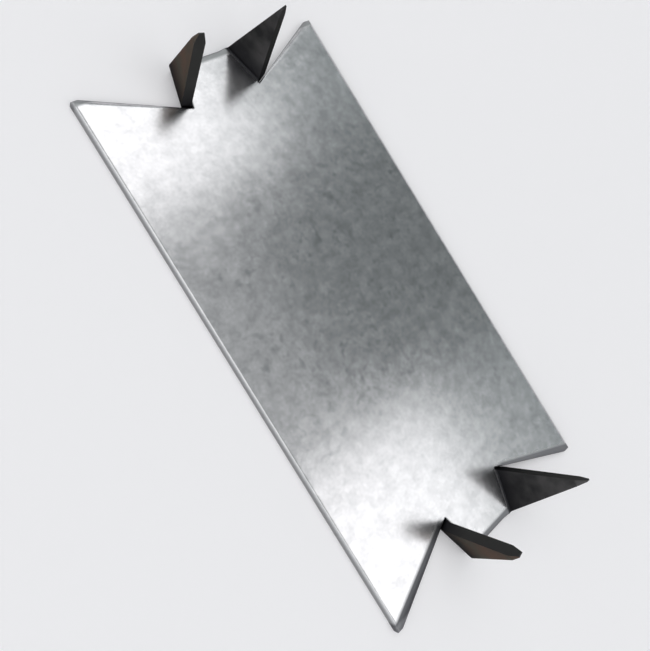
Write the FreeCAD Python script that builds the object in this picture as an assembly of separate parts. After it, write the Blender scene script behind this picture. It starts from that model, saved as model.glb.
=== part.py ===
"""Stud guard: a flat galvanised steel plate with four prongs lanced out of its ends and folded up.

The plate lies on its smooth face in the XY plane, with its length along X and the prongs standing up in +Z.
"""
import FreeCAD, Part
import math
import os

Vector = FreeCAD.Vector
UP = Vector(0, 0, 1)

# The plate, in millimetres
plate_length = 76.2
plate_width = 38.1
sheet_thickness = 1.4

# The four slits, one at each corner, which free the prongs from the plate and tear a little at the root
slit_start = 1.1
slit_depth = 6.3
tab_root_width = 10.7
tab_end_width = 7.1
root_tear = 0.25

# The folds, in millimetres and degrees; one prong stands open
bend_radius = 0.3
neutral_share = 0.25
prong_fold = 88.0
open_prong_fold = 76.0

# The tips of the prongs, thinned through the sheet towards a blunt point
tip_flat = 0.2
tip_taper = 1.4
tip_thickness = 0.7

# The edges that the shear rolled over, on the prong side
edge_roll = 0.45
slit_roll_width = 1.1
slit_roll_depth = 0.6
fade_share = 0.15
tab_roll_fade = 1.0

# Places that follow from the sizes above
root_inset = (plate_width - tab_root_width) / 2
tab_inset = (plate_width - tab_end_width) / 2
cut_overrun = 2 * sheet_thickness
band_clearance = bend_radius / 2
faded_width = fade_share * slit_roll_width
faded_depth = fade_share * slit_roll_depth
TOP_FACE = UP * sheet_thickness
CORNERS = [(-1, -1), (-1, 1), (1, 1), (1, -1)]
OPEN_CORNER = (1, 1)
BEND_STEPS = 4


def solid_from(outline, depth):
    """A prism: a closed outline of straight edges, drawn out by a vector."""
    return Part.Face(Part.makePolygon(outline + outline[:1])).extrude(depth)


def corner_point(corner, from_end, from_side):
    """A point on the smooth face, measured inwards from one corner of the blank."""
    end, side = corner
    return Vector(end * (plate_length / 2 - from_end), side * (plate_width / 2 - from_side), 0)


def slit_points(corner):
    """The mouth of a slit on the end of the plate, its root, and the corner of the centre tab beside it."""
    mouth = corner_point(corner, 0, slit_start)
    root = corner_point(corner, slit_depth, root_inset)
    tab_corner = corner_point(corner, 0, tab_inset)
    return mouth, root, tab_corner


def flat_plate():
    """The blank without its prongs: body, four pointed ears and two centre tabs."""
    outline = []
    for index, corner in enumerate(CORNERS):
        points = [corner_point(corner, 0, 0), *slit_points(corner)]
        outline += points if index % 2 == 0 else points[::-1]
    return solid_from(outline, TOP_FACE)


def roll_section(arris, inward, outward, width, depth):
    """What a rolled edge lacks of a square one, at one place along it: the space outside a quarter ellipse.

    The ellipse takes width from the rolled face, whose side is outward, and depth from the sheared edge.
    """
    flank, crest = arris - outward * depth, arris + inward * width
    quarter_ellipse = Part.BezierCurve()
    quarter_ellipse.setPoles([crest, arris, flank])
    quarter_ellipse.setWeight(2, math.sqrt(0.5))
    clear = outward * cut_overrun
    outside = [flank, flank - inward * cut_overrun, arris - inward * cut_overrun + clear, crest + clear, crest]
    return Part.Wire([quarter_ellipse.toShape(), *Part.makePolygon(outside).Edges])


def straight_roll(start, finish, inward):
    """Cutter for an edge of the plate that is rolled alike all along."""
    sections = [roll_section(place + TOP_FACE, inward, UP, edge_roll, edge_roll) for place in (start, finish)]
    return Part.makeLoft(sections, True, True)


def tab_end_roll(end):
    """Cutter for the end of a centre tab, whose roll fades where the bends begin."""
    faded = fade_share * edge_roll
    stations = [(0, faded), (tab_roll_fade, edge_roll),
                (tab_end_width - tab_roll_fade, edge_roll), (tab_end_width, faded)]
    first = corner_point((end, -1), 0, tab_inset) + TOP_FACE
    sections = [roll_section(first + Vector(0, offset, 0), Vector(-end, 0, 0), UP, size, size)
                for offset, size in stations]
    return Part.makeLoft(sections, True, True)


def slit_roll(corner):
    """Cutter for the ear's edge along a slit: it fades towards the root and ends along the fold line."""
    mouth, root, tab_corner = slit_points(corner)
    run = (root - mouth).normalize()
    to_ear = corner_point(corner, slit_depth, 0) - mouth
    inward = (to_ear - run * to_ear.dot(run)).normalize()
    fold_line = (root - tab_corner).normalize()
    sections = [roll_section(place + TOP_FACE, inward, UP, slit_roll_width, slit_roll_depth)
                for place in (mouth - run * cut_overrun, mouth)]
    sections.append(roll_section(root + TOP_FACE, fold_line, UP, faded_width, faded_depth))
    return Part.makeLoft(sections, True, True)


def roll_cuts():
    """Cutters for the long edges, the ends of the tabs and ears, and the slits."""
    cuts = [tab_end_roll(end) for end in (-1, 1)]
    past_end = Vector(plate_length / 2 + cut_overrun, 0, 0)
    for side in (-1, 1):
        edge = Vector(0, side * plate_width / 2, 0)
        cuts.append(straight_roll(edge - past_end, edge + past_end, Vector(0, -side, 0)))
    for corner in CORNERS:
        ear_start = corner_point(corner, 0, -cut_overrun)
        cuts.append(straight_roll(ear_start, corner_point(corner, 0, slit_start), Vector(-corner[0], 0, 0)))
        cuts.append(slit_roll(corner))
    return cuts


class Fold:
    """The geometry of one fold, measured on the flat blank from the root of its slit."""

    def __init__(self, corner, fold):
        mouth, self.root, tab_corner = slit_points(corner)
        self.angle = math.radians(fold)
        self.along = (tab_corner - self.root).normalize()
        self.span = (tab_corner - self.root).Length
        self.width = self.span - root_tear
        tip = mouth - self.root
        self.tip_along = tip.dot(self.along)
        self.outward = (tip - self.along * self.tip_along).normalize()
        self.reach = tip.dot(self.outward)
        self.axis_point = self.root + UP * (sheet_thickness + bend_radius)
        self.neutral_radius = bend_radius + neutral_share * sheet_thickness

    def edges_along(self, flat_distance):
        """Where the slit edge and the end edge of the prong lie along the fold, this far out on the flat blank."""
        share = flat_distance / self.reach
        slit_edge = root_tear + (self.tip_along - root_tear) * share
        return slit_edge, slit_edge + self.width * (1 - share)

    def outer_side(self, angle):
        """The way the smooth face looks once the sheet has turned by an angle."""
        return self.outward * math.sin(angle) - UP * math.cos(angle)


def bend(fold):
    """The curved strip: a turned band, kept between the blank's two edges as they wrap round the fold."""
    margin = sheet_thickness
    start, finish = fold.root - fold.along * margin, fold.root + fold.along * (fold.span + margin)
    lip = Part.Face(Part.makePolygon([start, finish, finish + TOP_FACE, start + TOP_FACE, start]))
    band = lip.revolve(fold.axis_point, fold.outward.cross(UP), math.degrees(fold.angle))

    limits = []
    inner, outer = bend_radius - band_clearance, bend_radius + sheet_thickness + band_clearance
    for step in range(-1, BEND_STEPS + 2):
        angle = fold.angle * step / BEND_STEPS
        side = fold.outer_side(angle)
        slit_edge, end_edge = fold.edges_along(angle * fold.neutral_radius)
        corners = [(slit_edge, inner), (end_edge, inner), (end_edge, outer), (slit_edge, outer), (slit_edge, inner)]
        limits.append(Part.makePolygon([fold.axis_point + fold.along * a + side * r for a, r in corners]))
    return band.common(Part.makeLoft(limits, True))


def blade(fold):
    """The straight part of a prong: what the flat blank leaves beyond the fold, thinned to a point."""
    side = fold.outer_side(fold.angle)
    rise = fold.outward * math.cos(fold.angle) + UP * math.sin(fold.angle)
    fold_length = fold.angle * fold.neutral_radius
    tip_distance = fold.reach * (1 - tip_flat / fold.width)
    base = fold.axis_point + side * bend_radius

    front = []
    for distance, order in ((fold_length, 1), (tip_distance, -1)):
        for along in fold.edges_along(distance)[::order]:
            front.append(base + fold.along * along + rise * (distance - fold_length))

    length = tip_distance - fold_length
    taper_start = length - tip_taper
    bevel = (sheet_thickness - tip_thickness) / 2
    section = [(0, 0), (taper_start, 0), (length, bevel),
               (length, sheet_thickness - bevel), (taper_start, sheet_thickness), (0, sheet_thickness)]
    edge_on = [base + rise * height + side * depth for height, depth in section]

    return solid_from(front, side * sheet_thickness).common(solid_from(edge_on, fold.along * fold.span))


def prong(corner):
    """One folded prong, bend and blade together."""
    fold = Fold(corner, open_prong_fold if corner == OPEN_CORNER else prong_fold)
    return bend(fold).fuse(blade(fold))


def stud_guard():
    """The whole folded sheet as one solid."""
    plate = flat_plate().cut(roll_cuts())
    prongs = [prong(corner) for corner in CORNERS]
    return plate.fuse(prongs).removeSplitter().Solids[0]


os.makedirs("parts", exist_ok=True)
stud_guard().exportStep("parts/stud_guard.step")
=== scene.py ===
"""Looks of the stud guard: a galvanised steel plate with four folded prongs painted dark as a painted
reflection, on a pale floor.
"""
import math

import bpy
from mathutils import Matrix, Vector

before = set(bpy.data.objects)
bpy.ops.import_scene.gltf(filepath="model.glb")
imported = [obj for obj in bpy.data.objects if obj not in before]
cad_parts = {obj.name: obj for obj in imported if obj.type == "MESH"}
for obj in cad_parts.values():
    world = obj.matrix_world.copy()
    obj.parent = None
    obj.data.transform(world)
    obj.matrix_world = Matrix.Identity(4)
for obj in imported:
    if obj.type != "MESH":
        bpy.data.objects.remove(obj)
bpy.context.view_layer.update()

MM = 0.001
WHITE = (1.0, 1.0, 1.0)

# The folded blank, in millimetres, as the solid has it
plate_length = 76.2
plate_width = 38.1
sheet_thickness = 1.4
slit_start = 1.1
slit_depth = 6.3
tab_root_width = 10.7
tab_end_width = 7.1

# The zinc skin, with sizes in millimetres, and each span as the part of a noise that goes from none to full
zinc_shades = ("#BFBEC0", "#E3E1E3")
zinc_roughness = (0.2, 0.24)
glancing_tint = "#A8A8A8"
cloud_size = 1.85
cloud_detail = 2.0
cloud_grain = 0.78
cloud_span = (0.3, 0.7)
crystal_size = 1.3
crystal_ragged = 0.9
crystal_detail = 2.0
crystal_share = 0.25
spangle_relief = 0.006
spangle_strength = 0.3

# Dull specks in the zinc, in patches, which thin out over their reach from the middle to a share at the ends,
# where the thinning is a painted highlight
speck_shade = "#AEAFB1"
speck_size = 1.15
speck_detail = 1.0
speck_span = (0.55, 0.8)
speck_patch = 4.0
patch_span = (0.4, 0.6)
speck_reach = (12.0, 26.0)
end_specks = 0.25

# The sheared edges, in millimetres: how far the dull bands reach in from the ends and the slits. The darker
# steel at one end and on its near ear, and the slit bands, are painted reflection of the dark prongs
side_steel = "#B6B7B8"
clean_end_steel = "#9C9D9E"
painted_reflection_end_steel = "#808083"
painted_reflection_near_ear_steel = "#5C5C5F"
edge_roughness = 0.4
end_band = 1.15
end_soft = 0.4
root_band = 0.5
mouth_band = 1.25
near_ear_band = 0.3
slit_soft = 0.5
slit_blend = 0.04
root_fade = 1.5

# The upward part of the normal where an edge begins to roll over, and where it is all edge
roll_span = (0.97, 0.7)

# The prongs, painted dark all over as a painted dark reflection, in millimetres: where the painting begins
# beside the fold line and how far up the painted shade at their foot goes
painted_prong_browns = ("#68584F", "#585750")
painted_prong_charcoals = ("#404041", "#5B5A5A")
painted_prong_edge_grey = "#464645"
painted_foot_shade = "#2C2C2F"
prong_roughness = 0.5
prong_start = -0.2
prong_blend = 0.35
painted_shade_height = 4.0
blotch_size = 2.5
blotch_detail = 3.0
blotch_span = (0.35, 0.65)

# How squarely a prong's surface looks across the fold where it is still an edge, and where it is all face
face_span = (0.5, 0.9)

# The camera: where it stands, in millimetres, and how it is turned, in degrees
camera_place = (-5.28, -41.29, 72.9)
camera_heading = -2.21
camera_tilt = 28.84
camera_roll = 60.43
nearest_seen = 1.0
sensor_width = 36.0
focal_pixels = 604.8
image_height = 651
crop_pixels = 47.4

# The paper floor and backdrop, in millimetres, and the glow that the lens and the metal see in each
paper_shade = "#EFEDEF"
paper_roughness = 0.9
floor_radius = 1400.0
floor_sides = 96
floor_lift = 0.12
backdrop_radius = 1900.0
backdrop_height = 1000.0
backdrop_steps = 8
backdrop_lift = 0.5

# The lamps, in millimetres: a box is its inner, outer, near and far edge, and a light of 1 is white
softbox_height = 900.0
softbox_offset = 31.5
light_gap = 10.0
end_box = (257.0, 1000.0, -240.0, 554.0)
end_light = 1.34
far_box = (276.0, 1200.0, 400.0, 1400.0)
far_light = 0.185
far_tint = (0.9, 1.0, 1.0)
panel_place = (0.0, -300.0, 920.0)
panel_size = (2400.0, 1400.0)
panel_light = 0.25
fill_place = (0.0, -1100.0, 900.0)
fill_size = (2000.0, 1000.0)
fill_light = 1.15
room_light = 0.228
room_colour = (0.89, 0.99, 1.0, 1.0)


def linear(hex_colour):
    """An sRGB hex colour as linear red, green, blue and alpha."""
    channels = [int(hex_colour[start:start + 2], 16) / 255 for start in (1, 3, 5)]
    return tuple(c / 12.92 if c <= 0.04045 else ((c + 0.055) / 1.055) ** 2.4 for c in channels) + (1.0,)


def add(tree, kind, inputs=None, **settings):
    """Adds a node with its settings, and sets or links its inputs."""
    node = tree.nodes.new(kind)
    for name, value in settings.items():
        setattr(node, name, value)
    for key, value in (inputs or {}).items():
        if isinstance(value, bpy.types.NodeSocket):
            tree.links.new(value, node.inputs[key])
        else:
            node.inputs[key].default_value = value
    return node


def new_material(name):
    """An empty material, and its node tree."""
    material = bpy.data.materials.new(name)
    material.use_nodes = True
    material.node_tree.nodes.clear()
    return material, material.node_tree


def zinc_spangle(tree, place):
    """The zinc's pattern: soft clouds, with small ragged crystals in them."""
    clouds = add(tree, "ShaderNodeTexNoise", {
        "Vector": place, "Scale": 1 / (cloud_size * MM), "Detail": cloud_detail,
        "Roughness": cloud_grain}).outputs["Fac"]
    mottle = add(tree, "ShaderNodeMapRange", {
        "Value": clouds, "From Min": cloud_span[0], "From Max": cloud_span[1]}).outputs[0]
    ragged = add(tree, "ShaderNodeTexNoise", {
        "Vector": place, "Scale": 1 / (crystal_ragged * MM), "Detail": crystal_detail}).outputs["Color"]
    moved = add(tree, "ShaderNodeVectorMath", {0: ragged, 1: (crystal_ragged * MM,) * 3, 2: place},
                operation="MULTIPLY_ADD").outputs[0]
    crystals = add(tree, "ShaderNodeTexVoronoi", {"Vector": moved, "Scale": 1 / (crystal_size * MM)},
                   voronoi_dimensions="2D").outputs["Color"]
    spangle = add(tree, "ShaderNodeMix", {"Factor": crystal_share, "A": mottle, "B": crystals},
                  data_type="FLOAT")
    return spangle.outputs["Result"]


def zinc_specks(tree, place):
    """Where the zinc has dull specks: dark grains in patches, fewer towards the ends of the plate as a
    painted highlight.
    """
    grains = add(tree, "ShaderNodeTexNoise", {
        "Vector": place, "Scale": 1 / (speck_size * MM), "Detail": speck_detail}).outputs["Fac"]
    dark_grains = add(tree, "ShaderNodeMapRange", {
        "Value": grains, "From Min": speck_span[0], "From Max": speck_span[1]}).outputs[0]
    areas = add(tree, "ShaderNodeTexNoise", {
        "Vector": place, "Scale": 1 / (speck_patch * MM), "Detail": speck_detail}).outputs["Fac"]
    speckled = add(tree, "ShaderNodeMapRange", {
        "Value": areas, "From Min": patch_span[0], "From Max": patch_span[1]}).outputs[0]
    # Painted highlight: the specks thin out towards the ends
    lengthwise = add(tree, "ShaderNodeSeparateXYZ", {0: place}).outputs["X"]
    from_middle = add(tree, "ShaderNodeMath", {0: lengthwise}, operation="ABSOLUTE").outputs[0]
    painted_highlight_thinning = add(tree, "ShaderNodeMapRange", {
        "Value": from_middle, "From Min": speck_reach[0] * MM, "From Max": speck_reach[1] * MM,
        "To Min": 1.0, "To Max": end_specks}).outputs[0]
    patched = add(tree, "ShaderNodeMath", {0: dark_grains, 1: speckled}, operation="MULTIPLY").outputs[0]
    return add(tree, "ShaderNodeMath", {0: patched, 1: painted_highlight_thinning}, operation="MULTIPLY").outputs[0]


def zinc_skin(tree, place):
    """The zinc's colour and roughness, and the spangle that both follow."""
    spangle = zinc_spangle(tree, place)
    specks = zinc_specks(tree, place)
    zinc = add(tree, "ShaderNodeMix", {
        "Factor": spangle, "A": linear(zinc_shades[0]), "B": linear(zinc_shades[1])},
        data_type="RGBA").outputs["Result"]
    colour = add(tree, "ShaderNodeMix", {"Factor": specks, "A": zinc, "B": linear(speck_shade)},
                 data_type="RGBA").outputs["Result"]
    roughness = add(tree, "ShaderNodeMapRange", {
        "Value": spangle, "To Min": zinc_roughness[0], "To Max": zinc_roughness[1]}).outputs[0]
    return colour, roughness, spangle


def corner_lines():
    """At one corner, which the others mirror: the slit's root and mouth, and the way across the fold."""
    root = Vector((plate_length / 2 - slit_depth, tab_root_width / 2, 0))
    tab_corner = Vector((plate_length / 2, tab_end_width / 2, 0))
    mouth = Vector((plate_length / 2, plate_width / 2 - slit_start, 0))
    along_fold = (tab_corner - root).normalized()
    across_fold = Vector((-along_fold.y, along_fold.x, 0))
    return root, mouth, across_fold


def across(start, finish):
    """The way across a line on the plate, to its right."""
    run = (finish - start).normalized()
    return Vector((run.y, -run.x, 0))


def measured_from_root(tree, place):
    """A place measured from the root of its slit, with the four corners mirrored onto one."""
    root, _, _ = corner_lines()
    corner = add(tree, "ShaderNodeVectorMath", {0: place}, operation="ABSOLUTE").outputs[0]
    return add(tree, "ShaderNodeVectorMath", {0: corner, 1: root * MM}, operation="SUBTRACT").outputs[0]


def end_bands(tree, from_root):
    """Where the dull bands along the two ends are."""
    inner_line = slit_depth - end_band
    along = add(tree, "ShaderNodeSeparateXYZ", {0: from_root}).outputs["X"]
    return add(tree, "ShaderNodeMapRange", {
        "Value": along, "From Min": inner_line * MM, "From Max": (inner_line + end_soft) * MM}).outputs[0]


def painted_slit_bands(tree, from_root, near_ear):
    """Where the dull bands on the ears are, a painted reflection of the prongs: along the slits, wider
    towards the mouth and on the near ear.
    """
    root, mouth, _ = corner_lines()
    run = (mouth - root).normalized()
    out_of_ear = across(root, mouth)
    line_start = root - out_of_ear * root_band
    line_finish = mouth - out_of_ear * mouth_band

    # On the ear's side of the slit
    beside = add(tree, "ShaderNodeVectorMath", {0: from_root, 1: out_of_ear},
                 operation="DOT_PRODUCT").outputs["Value"]
    on_ear = add(tree, "ShaderNodeMapRange", {
        "Value": beside, "From Min": slit_blend * MM, "From Max": 0.0}).outputs[0]

    # Within the band's inner line, which slants away from the slit
    from_line = add(tree, "ShaderNodeVectorMath", {0: from_root, 1: (line_start - root) * MM},
                    operation="SUBTRACT").outputs[0]
    within = add(tree, "ShaderNodeVectorMath", {0: from_line, 1: across(line_start, line_finish)},
                 operation="DOT_PRODUCT").outputs["Value"]
    widened = add(tree, "ShaderNodeMath", {0: near_ear, 1: near_ear_band * MM, 2: within},
                  operation="MULTIPLY_ADD").outputs[0]
    near_slit = add(tree, "ShaderNodeMapRange", {
        "Value": widened, "From Min": -slit_soft / 2 * MM, "From Max": slit_soft / 2 * MM}).outputs[0]

    # Growing from nothing at the slit's root
    up_slit = add(tree, "ShaderNodeVectorMath", {0: from_root, 1: run},
                  operation="DOT_PRODUCT").outputs["Value"]
    past_root = add(tree, "ShaderNodeMapRange", {"Value": up_slit, "From Max": root_fade * MM}).outputs[0]

    at_slit = add(tree, "ShaderNodeMath", {0: near_slit, 1: on_ear}, operation="MULTIPLY").outputs[0]
    return add(tree, "ShaderNodeMath", {0: at_slit, 1: past_root}, operation="MULTIPLY").outputs[0]


def sheared_edges(tree, place, from_root, normal):
    """Where the sheet was sheared, and the bare steel there: pale on the long sides, dull on the ends.

    One of the two ends and its slits are painted darker, most of all on the near ear, as a painted reflection
    of the dark prongs.
    """
    root, _, _ = corner_lines()
    sides = add(tree, "ShaderNodeSeparateXYZ", {0: place}).outputs
    # Painted reflection of the prongs: the end and slit steel darken towards one end
    painted_reflection_end = add(tree, "ShaderNodeMapRange", {
        "Value": sides["X"], "From Min": -root.x * MM, "From Max": root.x * MM}).outputs[0]
    near_ear = add(tree, "ShaderNodeMapRange", {
        "Value": sides["Y"], "From Min": -tab_end_width / 2 * MM, "From Max": -root.y * MM}).outputs[0]

    at_end = end_bands(tree, from_root)
    at_slit = painted_slit_bands(tree, from_root, near_ear)
    # The slit bands are painted reflection of the prongs, at the darker end only
    painted_slit_reflection = add(tree, "ShaderNodeMath", {0: at_slit, 1: painted_reflection_end}, operation="MULTIPLY").outputs[0]
    band = add(tree, "ShaderNodeMath", {0: at_end, 1: painted_slit_reflection}, operation="MAXIMUM").outputs[0]

    turned = add(tree, "ShaderNodeVectorMath", {0: normal}, operation="ABSOLUTE").outputs[0]
    facing = add(tree, "ShaderNodeSeparateXYZ", {0: turned}).outputs
    rolled = add(tree, "ShaderNodeMapRange", {
        "Value": facing["Z"], "From Min": roll_span[0], "From Max": roll_span[1]}).outputs[0]
    edge = add(tree, "ShaderNodeMath", {0: rolled, 1: band}, operation="MAXIMUM").outputs[0]

    dull = add(tree, "ShaderNodeMath", {0: facing["X"], 1: band}, operation="MAXIMUM").outputs[0]
    # Painted reflection: darkest on the near ear at that end
    painted_near_ear_darkening = add(tree, "ShaderNodeMath", {0: near_ear, 1: at_end}, operation="SUBTRACT",
                  use_clamp=True).outputs[0]
    painted_reflection_steel = add(tree, "ShaderNodeMix", {
        "Factor": painted_near_ear_darkening, "A": linear(painted_reflection_end_steel), "B": linear(painted_reflection_near_ear_steel)},
        data_type="RGBA").outputs["Result"]
    end_steel = add(tree, "ShaderNodeMix", {
        "Factor": painted_reflection_end, "A": linear(clean_end_steel), "B": painted_reflection_steel},
        data_type="RGBA").outputs["Result"]
    steel = add(tree, "ShaderNodeMix", {"Factor": dull, "A": linear(side_steel), "B": end_steel},
                data_type="RGBA").outputs["Result"]
    return edge, steel


def prong_area(tree, from_root):
    """Where the prongs are: past the fold line, and on the prong's side of the slit."""
    root, mouth, across_fold = corner_lines()
    beyond_fold = add(tree, "ShaderNodeVectorMath", {0: from_root, 1: across_fold},
                      operation="DOT_PRODUCT").outputs["Value"]
    beside_slit = add(tree, "ShaderNodeVectorMath", {0: from_root, 1: across(root, mouth)},
                      operation="DOT_PRODUCT").outputs["Value"]
    past_fold = add(tree, "ShaderNodeMapRange", {
        "Value": beyond_fold, "From Min": prong_start * MM, "From Max": (prong_start + prong_blend) * MM},
        interpolation_type="SMOOTHSTEP").outputs[0]
    past_slit = add(tree, "ShaderNodeMapRange", {
        "Value": beside_slit, "From Min": -slit_blend / 2 * MM, "From Max": slit_blend / 2 * MM}).outputs[0]
    return add(tree, "ShaderNodeMath", {0: past_fold, 1: past_slit}, operation="MULTIPLY").outputs[0]


def prong_faces(tree, place, normal):
    """The prongs' outer and inner faces, which look across the fold, while their edges look along it."""
    _, _, across_fold = corner_lines()
    quarter = add(tree, "ShaderNodeVectorMath", {0: place}, operation="SIGN").outputs[0]
    look = add(tree, "ShaderNodeVectorMath", {0: normal, 1: quarter}, operation="MULTIPLY").outputs[0]
    faced = add(tree, "ShaderNodeVectorMath", {0: look, 1: across_fold},
                operation="DOT_PRODUCT").outputs["Value"]
    outer = add(tree, "ShaderNodeMapRange", {
        "Value": faced, "From Min": face_span[0], "From Max": face_span[1]}).outputs[0]
    inner = add(tree, "ShaderNodeMapRange", {
        "Value": faced, "From Min": -face_span[0], "From Max": -face_span[1]}).outputs[0]
    return outer, inner


def prong_painted_reflection(tree, place, normal):
    """The prongs' painted dark reflection, blotched: brown outside, charcoal inside, grey on edges, with
    painted shade in black at the foot.
    """
    outer, inner = prong_faces(tree, place, normal)
    patches = add(tree, "ShaderNodeTexNoise", {
        "Vector": place, "Scale": 1 / (blotch_size * MM), "Detail": blotch_detail}).outputs["Fac"]
    blotches = add(tree, "ShaderNodeMapRange", {
        "Value": patches, "From Min": blotch_span[0], "From Max": blotch_span[1]}).outputs[0]
    brown = add(tree, "ShaderNodeMix", {
        "Factor": blotches, "A": linear(painted_prong_browns[0]), "B": linear(painted_prong_browns[1])},
        data_type="RGBA").outputs["Result"]
    charcoal = add(tree, "ShaderNodeMix", {
        "Factor": blotches, "A": linear(painted_prong_charcoals[0]), "B": linear(painted_prong_charcoals[1])},
        data_type="RGBA").outputs["Result"]
    grey = add(tree, "ShaderNodeMix", {"Factor": inner, "A": linear(painted_prong_edge_grey), "B": charcoal},
               data_type="RGBA").outputs["Result"]
    skin = add(tree, "ShaderNodeMix", {"Factor": outer, "A": grey, "B": brown},
               data_type="RGBA").outputs["Result"]
    # Painted shade: black at the foot of each prong
    height = add(tree, "ShaderNodeSeparateXYZ", {0: place}).outputs["Z"]
    above_foot = add(tree, "ShaderNodeMapRange", {
        "Value": height, "From Min": sheet_thickness * MM,
        "From Max": (sheet_thickness + painted_shade_height) * MM}).outputs[0]
    colour = add(tree, "ShaderNodeMix", {"Factor": above_foot, "A": linear(painted_foot_shade), "B": skin},
                 data_type="RGBA")
    return colour.outputs["Result"]


def galvanised_sheet():
    """Hot-dip galvanised sheet steel, rolled, sheared and lanced.

    The zinc is satin with a fine soft spangle, the sheared edges are duller grey steel, and the prongs
    are painted dark all over, a painted dark reflection with painted shade at their foot.
    """
    material, tree = new_material("hot_dip_galvanised_sheet_steel")
    place = add(tree, "ShaderNodeTexCoord").outputs["Object"]
    normal = add(tree, "ShaderNodeNewGeometry").outputs["Normal"]
    from_root = measured_from_root(tree, place)

    zinc, satin, spangle = zinc_skin(tree, place)
    edge, steel = sheared_edges(tree, place, from_root, normal)
    prongs = prong_area(tree, from_root)
    # The prongs' colour is painted dark reflection, with painted shade at the foot
    painted_dark_prongs = prong_painted_reflection(tree, place, normal)

    plate = add(tree, "ShaderNodeMix", {"Factor": edge, "A": zinc, "B": steel},
                data_type="RGBA").outputs["Result"]
    colour = add(tree, "ShaderNodeMix", {"Factor": prongs, "A": plate, "B": painted_dark_prongs},
                 data_type="RGBA").outputs["Result"]
    sheared = add(tree, "ShaderNodeMix", {"Factor": edge, "A": satin, "B": edge_roughness},
                  data_type="FLOAT").outputs["Result"]
    roughness = add(tree, "ShaderNodeMix", {"Factor": prongs, "A": sheared, "B": prong_roughness},
                    data_type="FLOAT").outputs["Result"]
    relief = add(tree, "ShaderNodeBump", {
        "Strength": spangle_strength, "Distance": spangle_relief * MM, "Height": spangle}).outputs[0]
    shader = add(tree, "ShaderNodeBsdfPrincipled", {
        "Base Color": colour, "Roughness": roughness, "Specular Tint": linear(glancing_tint),
        "Metallic": 1.0, "Normal": relief})
    add(tree, "ShaderNodeOutputMaterial", {"Surface": shader.outputs[0]})
    return material


def studio_paper():
    """Matt seamless paper, pale grey, which lens and metal see a little lighter towards the backdrop."""
    material, tree = new_material("matt_seamless_paper")
    place = add(tree, "ShaderNodeTexCoord").outputs["Object"]
    distance = add(tree, "ShaderNodeVectorMath", {0: place}, operation="LENGTH").outputs["Value"]
    lift = add(tree, "ShaderNodeMapRange", {
        "Value": distance, "From Max": backdrop_radius * MM,
        "To Min": floor_lift, "To Max": backdrop_lift}).outputs[0]
    ray = add(tree, "ShaderNodeLightPath").outputs
    mirrored = add(tree, "ShaderNodeMath", {0: ray["Is Glossy Ray"], 1: ray["Is Transmission Ray"]},
                   operation="MAXIMUM").outputs[0]
    seen = add(tree, "ShaderNodeMath", {0: ray["Is Camera Ray"], 1: mirrored}, operation="MAXIMUM").outputs[0]
    glow = add(tree, "ShaderNodeMath", {0: seen, 1: lift}, operation="MULTIPLY").outputs[0]
    shader = add(tree, "ShaderNodeBsdfPrincipled", {
        "Base Color": linear(paper_shade), "Roughness": paper_roughness,
        "Emission Color": linear(paper_shade), "Emission Strength": glow})
    add(tree, "ShaderNodeOutputMaterial", {"Surface": shader.outputs[0]})
    return material


def studio_floor():
    """A round floor of seamless paper that sweeps up into a backdrop on all sides."""
    bpy.ops.object.select_all(action="DESELECT")
    bpy.ops.mesh.primitive_circle_add(vertices=floor_sides, radius=floor_radius * MM, fill_type="NGON")
    floor = bpy.context.object
    floor.name = "studio_floor"
    bpy.ops.object.mode_set(mode="EDIT")
    bpy.ops.mesh.select_mode(type="EDGE")
    bpy.ops.mesh.select_all(action="DESELECT")
    bpy.ops.mesh.select_non_manifold()
    radius, height = floor_radius, 0.0
    for step in range(1, backdrop_steps + 1):
        angle = math.pi / 2 * step / backdrop_steps
        wider = floor_radius + (backdrop_radius - floor_radius) * math.sin(angle)
        higher = backdrop_height * (1 - math.cos(angle))
        growth = wider / radius
        bpy.ops.mesh.extrude_edges_move(TRANSFORM_OT_translate={"value": (0, 0, (higher - height) * MM)})
        bpy.ops.transform.resize(value=(growth, growth, 1), center_override=(0, 0, higher * MM))
        radius, height = wider, higher
    bpy.ops.mesh.select_all(action="SELECT")
    bpy.ops.mesh.normals_make_consistent(inside=True)
    bpy.ops.object.mode_set(mode="OBJECT")
    bpy.ops.object.shade_smooth()
    floor.data.materials.append(studio_paper())


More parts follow.
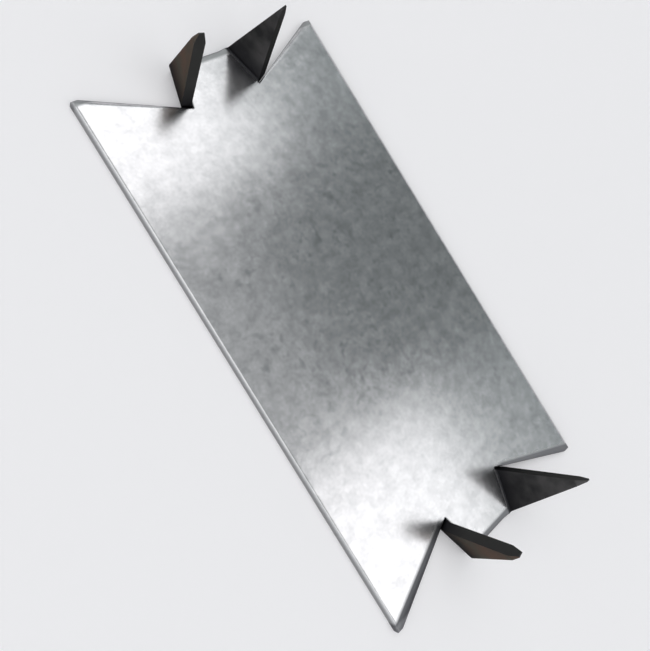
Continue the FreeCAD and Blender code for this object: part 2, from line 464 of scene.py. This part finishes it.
def softbox(name, place, aim, size, light, tint=WHITE):
    """A rectangular lamp, set by the radiance of its face."""
    width, length = (side * MM for side in size)
    lamp = bpy.data.lights.new(name, "AREA")
    lamp.color = tint
    lamp.shape = "RECTANGLE"
    lamp.size = width
    lamp.size_y = length
    lamp.energy = light * math.pi * width * length
    box = bpy.data.objects.new(name, lamp)
    box.location = Vector(place) * MM
    box.rotation_euler = (Vector(aim) - Vector(place)).to_track_quat("-Z", "Y").to_euler()
    box.visible_camera = False
    bpy.context.scene.collection.objects.link(box)


def level_softbox(name, side, box, height, light, tint=WHITE):
    """A softbox that faces straight down on one side of the plate, between the four edges of its box."""
    inner, outer, near, far = box
    place = (softbox_offset + side * (inner + outer) / 2, (near + far) / 2, height)
    softbox(name, place, (*place[:2], 0), (outer - inner, far - near), light, tint)


def studio_lights():
    """A softbox over each end, a dim cool one behind it, a dim overhead panel, a near fill, and the room."""
    for side in (-1, 1):
        level_softbox("end_softbox", side, end_box, softbox_height, end_light)
        level_softbox("far_softbox", side, far_box, softbox_height + light_gap, far_light, far_tint)
    softbox("overhead_panel", panel_place, (*panel_place[:2], 0), panel_size, panel_light)
    softbox("near_fill", fill_place, (0, 0, 0), fill_size, fill_light)
    world = bpy.data.worlds.new("dim_room")
    world.use_nodes = True
    background = world.node_tree.nodes["Background"]
    background.inputs["Color"].default_value = room_colour
    background.inputs["Strength"].default_value = room_light
    bpy.context.scene.world = world


def photo_camera():
    """The camera that the photograph was taken with: near, steeply above and rolled."""
    data = bpy.data.cameras.new("photo_camera")
    data.sensor_width = sensor_width
    data.lens = sensor_width * focal_pixels / image_height
    data.shift_y = -crop_pixels / image_height
    data.clip_start = nearest_seen * MM
    camera = bpy.data.objects.new("photo_camera", data)
    heading = Matrix.Rotation(math.radians(camera_heading), 4, "Z")
    tilt = Matrix.Rotation(math.radians(camera_tilt), 4, "X")
    roll = Matrix.Rotation(math.radians(camera_roll), 4, "Z")
    camera.matrix_world = Matrix.Translation(Vector(camera_place) * MM) @ heading @ tilt @ roll
    bpy.context.scene.collection.objects.link(camera)
    bpy.context.scene.camera = camera


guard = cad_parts["stud_guard"]
guard.material_slots[0].material = galvanised_sheet()
studio_floor()
studio_lights()
photo_camera()
bpy.context.scene.view_settings.view_transform = "Standard"
